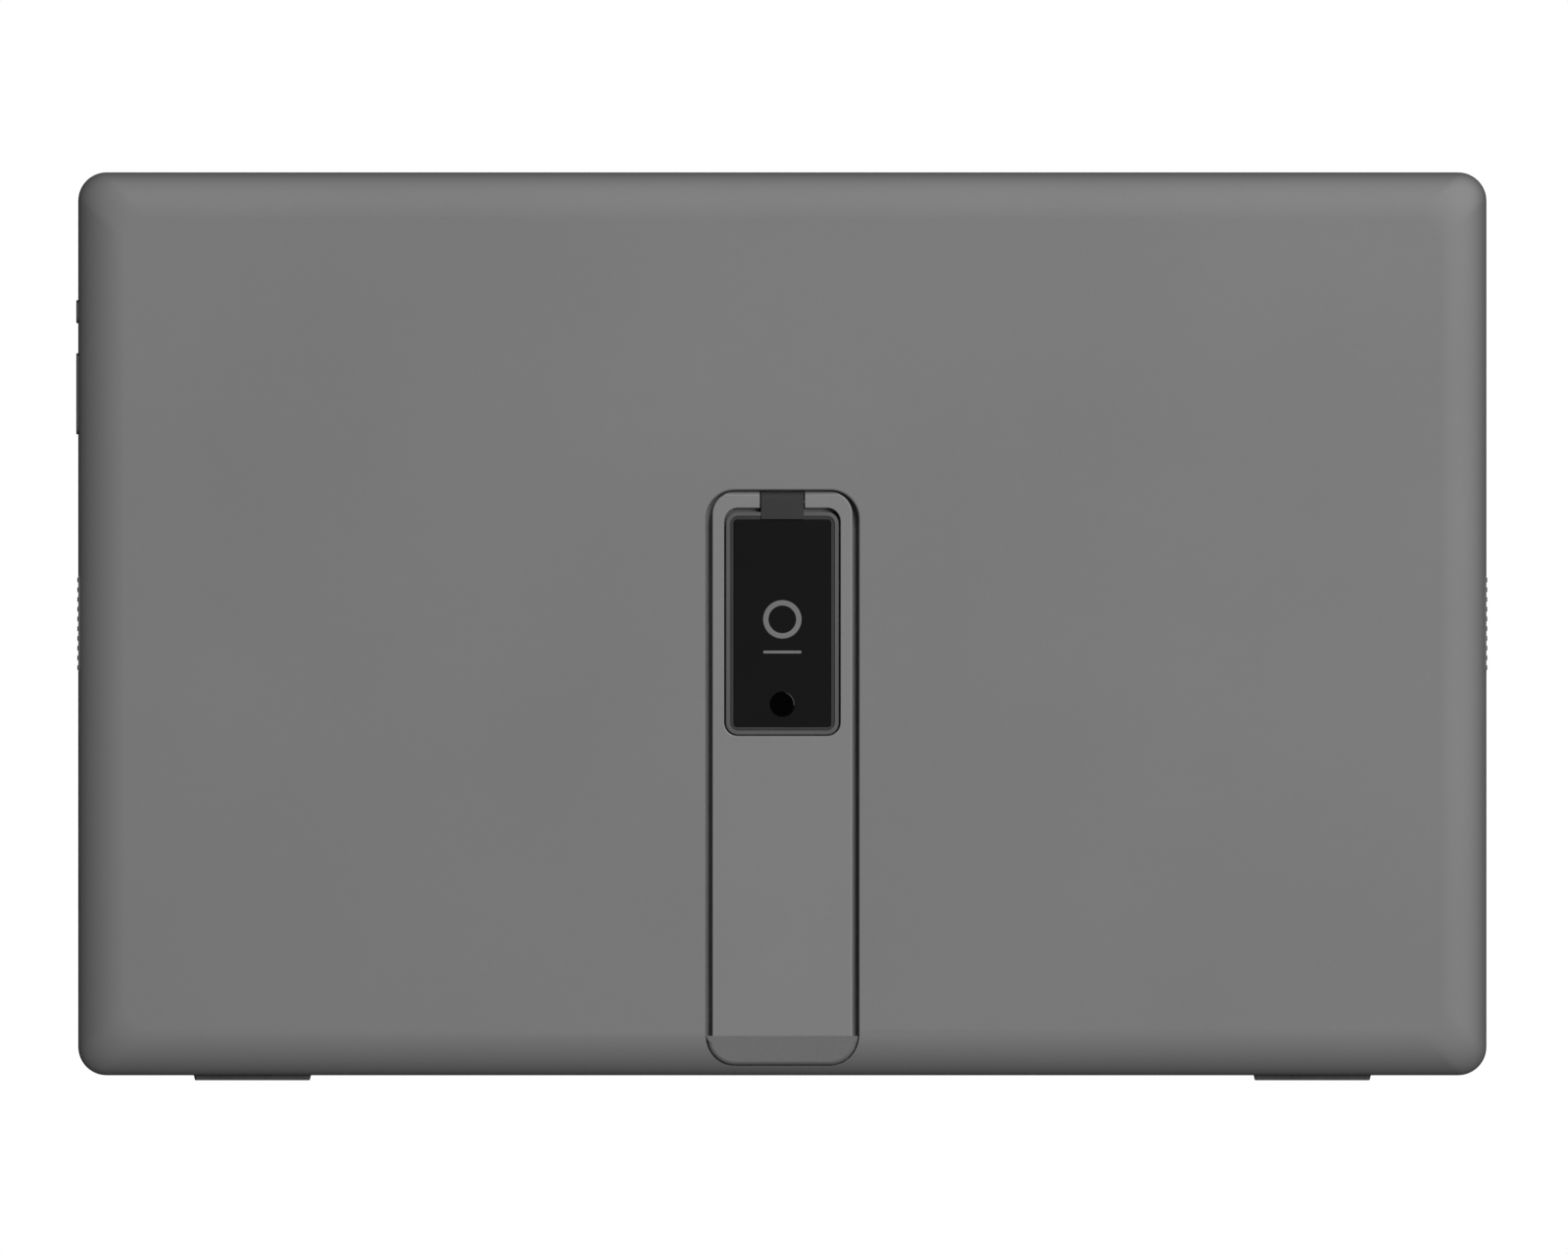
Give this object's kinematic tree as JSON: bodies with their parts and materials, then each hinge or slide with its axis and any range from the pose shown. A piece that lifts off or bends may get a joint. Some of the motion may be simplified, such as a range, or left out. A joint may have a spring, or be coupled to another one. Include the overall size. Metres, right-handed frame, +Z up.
{
  "type": "slate tablet with a fold-out stand",
  "caption": "Large slate tablet seen from behind, with a stand leg that folds into a well in its back, side keys, sockets and speakers, and two rubber feet.",
  "frame": {"origin": "under the middle of the case, on the flat surface that the two rubber feet stand on", "axes": "+X to the right along the long side as seen from behind, +Y from the back towards the screen, +Z up towards the top edge"},
  "size_m": [0.3968, 0.012, 0.2554],
  "materials": {
    "shell": "matte grey bead-blasted and anodised look",
    "frame_plastic": "matte black",
    "cover_glass": "polished black-backed glass",
    "adhesive": "white foam tape",
    "panel": "dark polariser",
    "film": "white diffuser film",
    "light_guide": "clear acrylic",
    "led_strip": "flexible circuit with small emitters",
    "tray_steel": "thin steel sheet",
    "mid_aluminium": "pressed sheet",
    "screw_steel": "zinc-plated",
    "battery_pouch": "wrapped pouch cell",
    "circuit_board": "green solder mask",
    "chip": "moulded packages",
    "ribbon": "amber polyimide",
    "graphite": "graphite foil",
    "socket_metal": "nickel-plated shell",
    "socket_tongue": "black moulded tongue",
    "speaker_plastic": "black moulded box",
    "speaker_cone": "cone and frame",
    "grille": "dark grey moulded ribs",
    "mesh": "black acoustic mesh",
    "wire": "insulated wire",
    "camera": "black housing",
    "bracket": "dark grey moulding",
    "badge": "satin black plate",
    "camera_window": "polished black window",
    "rubber": "dark grey rubber",
    "boot": "grey rubber",
    "stand": "matte grey, as the shell",
    "key": "dark grey moulding"
  },
  "bodies": {
    "slate": {"rear_shell": "shell", "front_frame": "frame_plastic", "cover_glass": "cover_glass", "glass_tape": "adhesive", "lcd_cell": "panel", "optical_films": "film", "light_guide": "light_guide", "led_bar": "led_strip", "backlight_tray": "tray_steel", "mid_frame": "mid_aluminium", "frame_screws": "screw_steel", "battery_left": "battery_pouch", "battery_right": "battery_pouch", "battery_boards": "circuit_board", "battery_ribbon": "ribbon", "main_board": "circuit_board", "board_chips": "chip", "shield_can": "tray_steel", "heat_spreader": "graphite", "board_screws": "screw_steel", "usb_c_shell_upper": "socket_metal", "usb_c_shell_lower": "socket_metal", "usb_c_tongue_upper": "socket_tongue", "usb_c_tongue_lower": "socket_tongue", "mini_hdmi_shell": "socket_metal", "mini_hdmi_tongue": "socket_tongue", "key_board": "circuit_board", "key_switches": "socket_metal", "rocker_bracket": "tray_steel", "key_ribbon": "ribbon", "speaker_box_left": "speaker_plastic", "speaker_box_right": "speaker_plastic", "speaker_driver_left": "speaker_cone", "speaker_driver_right": "speaker_cone", "speaker_grille_left": "grille", "speaker_grille_right": "grille", "speaker_mesh_left": "mesh", "speaker_mesh_right": "mesh", "speaker_wires": "wire", "display_ribbon": "ribbon", "camera_ribbon": "ribbon", "wifi_antennas": "camera", "front_camera": "camera", "hinge_bracket": "bracket", "bracket_screws": "screw_steel", "badge_plate": "badge", "camera_window": "camera_window", "camera_module": "camera", "friction_clips": "screw_steel", "foot_left": "rubber", "foot_right": "rubber"},
    "stand": {"stand_leg": "stand", "stand_boot": "boot", "hinge_pin": "screw_steel"},
    "power_key": {"power_button": "key"},
    "volume_key": {"volume_rocker": "key"}
  },
  "joints": [
    {"name": "stand_hinge", "type": "hinge", "parent": "slate", "child": "stand", "pos_m": [0, -0.0046, 0.16265], "axis": [-1, 0, 0], "range_deg": [0, 75]},
    {"name": "power_press", "type": "slide", "parent": "slate", "child": "power_key", "axis": [1, 0, 0], "range_m": [0, 0.0004], "stiffness_N_per_m": 2500, "springref_m": -0.0003},
    {"name": "volume_rock", "type": "hinge", "parent": "slate", "child": "volume_key", "pos_m": [-0.19355, -0.0003, 0.1931], "axis": [0, 1, 0], "range_deg": [-1.2, 1.2], "stiffness_Nm_per_rad": 0.8}
  ]
}
